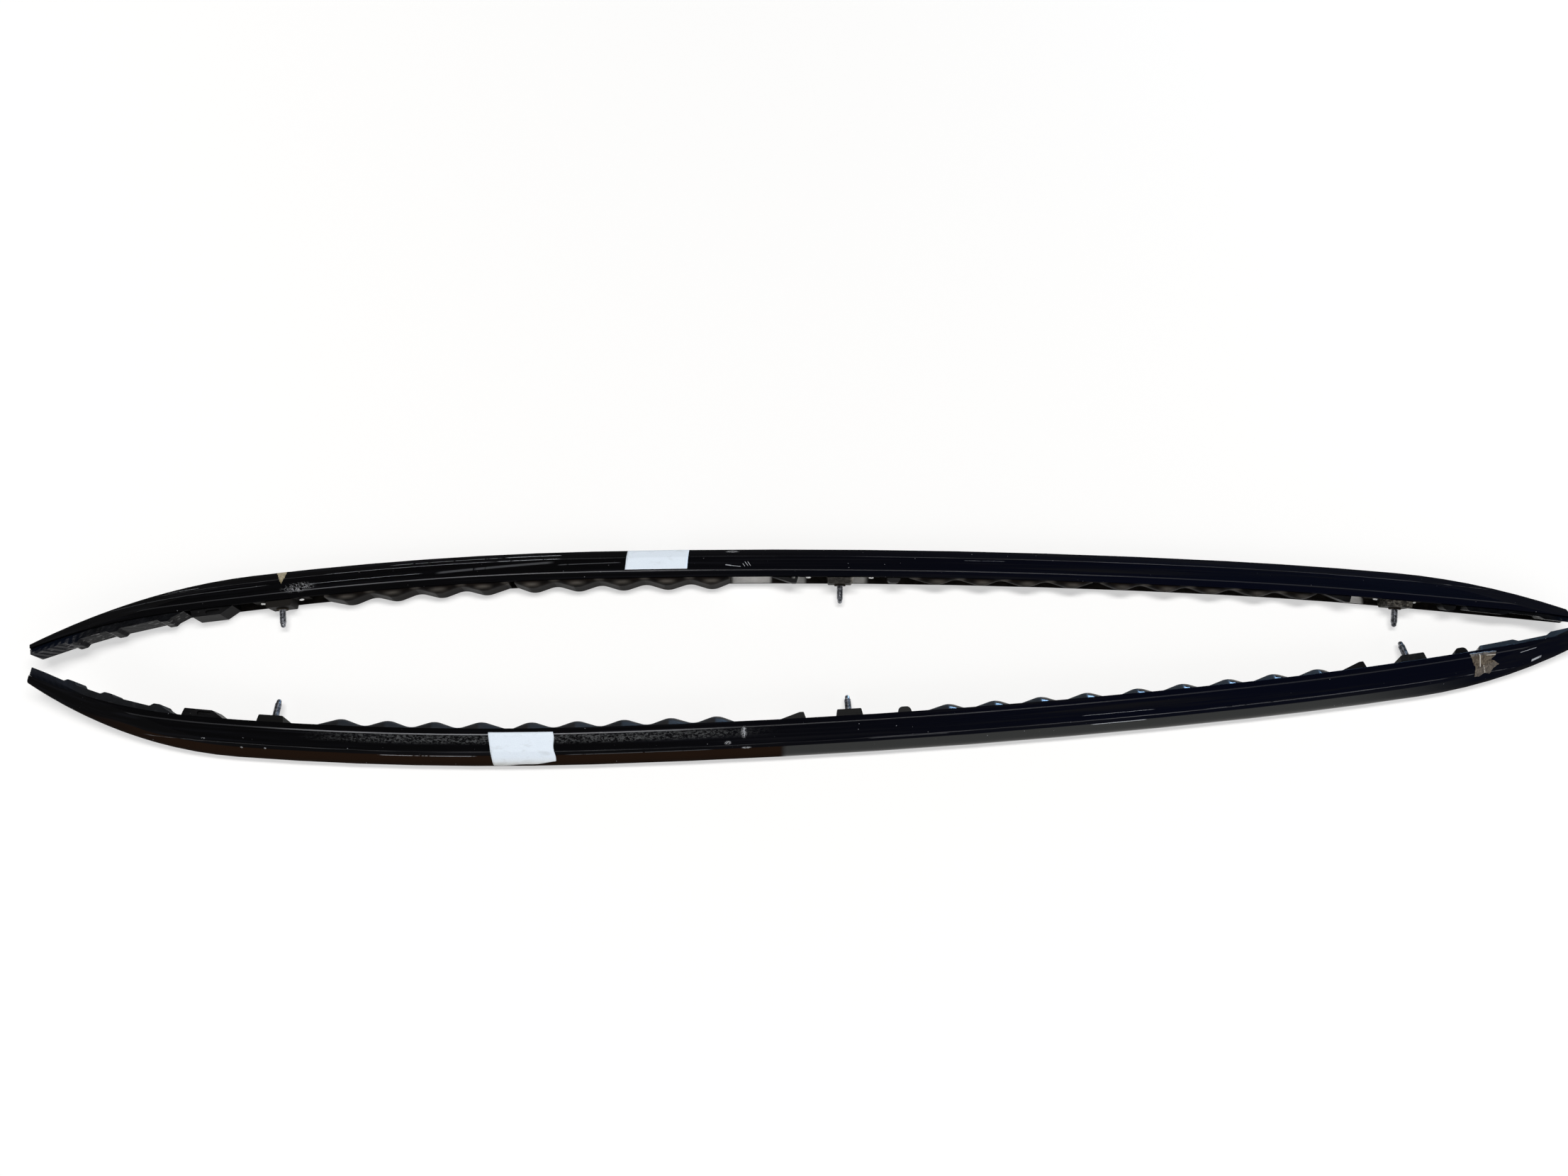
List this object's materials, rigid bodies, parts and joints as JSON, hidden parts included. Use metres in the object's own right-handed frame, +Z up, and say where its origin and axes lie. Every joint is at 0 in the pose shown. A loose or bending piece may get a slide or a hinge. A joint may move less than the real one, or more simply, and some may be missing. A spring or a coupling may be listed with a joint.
{
  "type": "roof side rail pair",
  "caption": "Pair of mirror-image black roof side rails, lying on their sides, with tapering ends, wavy underside strips, clips, feet and threaded mounting studs.",
  "frame": {"origin": "on the floor under the middle of the pair's outer box", "axes": "+X along the rails from their front (tapering) ends to their rear ends, +Y from the left rail to the right rail, +Z up from the floor the rails lie on"},
  "size_m": [1.8672, 0.2763, 0.0553],
  "materials": {
    "rail_paint": "gloss black paint with a navy sheen, specks and scratches",
    "strip_rubber": "semi-gloss black rubber",
    "moulded_plastic": "black moulded plastic, slightly blue",
    "clip_plastic": "satin black plastic",
    "pad_rubber": "matt black rubber",
    "screw_steel": "bright plated steel",
    "foot_casting": "mottled dark grey casting",
    "stud_zinc": "zinc-plated thread",
    "seal_foam": "grey-brown foam"
  },
  "bodies": {
    "root": {"left_foot_screws": "screw_steel", "left_front_clip": "clip_plastic", "left_front_end_pad": "moulded_plastic", "left_front_foot": "foot_casting", "left_front_long_strip": "strip_rubber", "left_front_seal": "seal_foam", "left_front_short_strip": "strip_rubber", "left_front_stud": "stud_zinc", "left_mid_foot": "foot_casting", "left_mid_ramp_clip": "clip_plastic", "left_mid_round_pad": "pad_rubber", "left_mid_seal": "seal_foam", "left_mid_stud": "stud_zinc", "left_rail_bar": "rail_paint", "left_rear_end_pad": "moulded_plastic", "left_rear_foot": "foot_casting", "left_rear_long_strip": "strip_rubber", "left_rear_ramp_clip": "clip_plastic", "left_rear_round_pad": "pad_rubber", "left_rear_seal": "seal_foam", "left_rear_short_strip": "strip_rubber", "left_rear_stud": "stud_zinc", "right_foot_screws": "screw_steel", "right_front_clip": "clip_plastic", "right_front_end_pad": "moulded_plastic", "right_front_foot": "foot_casting", "right_front_long_strip": "strip_rubber", "right_front_seal": "seal_foam", "right_front_short_strip": "strip_rubber", "right_front_stud": "stud_zinc", "right_mid_foot": "foot_casting", "right_mid_ramp_clip": "clip_plastic", "right_mid_round_pad": "pad_rubber", "right_mid_seal": "seal_foam", "right_mid_stud": "stud_zinc", "right_rail_bar": "rail_paint", "right_rear_end_pad": "moulded_plastic", "right_rear_foot": "foot_casting", "right_rear_long_strip": "strip_rubber", "right_rear_ramp_clip": "clip_plastic", "right_rear_round_pad": "pad_rubber", "right_rear_seal": "seal_foam", "right_rear_short_strip": "strip_rubber", "right_rear_stud": "stud_zinc"}
  },
  "joints": []
}
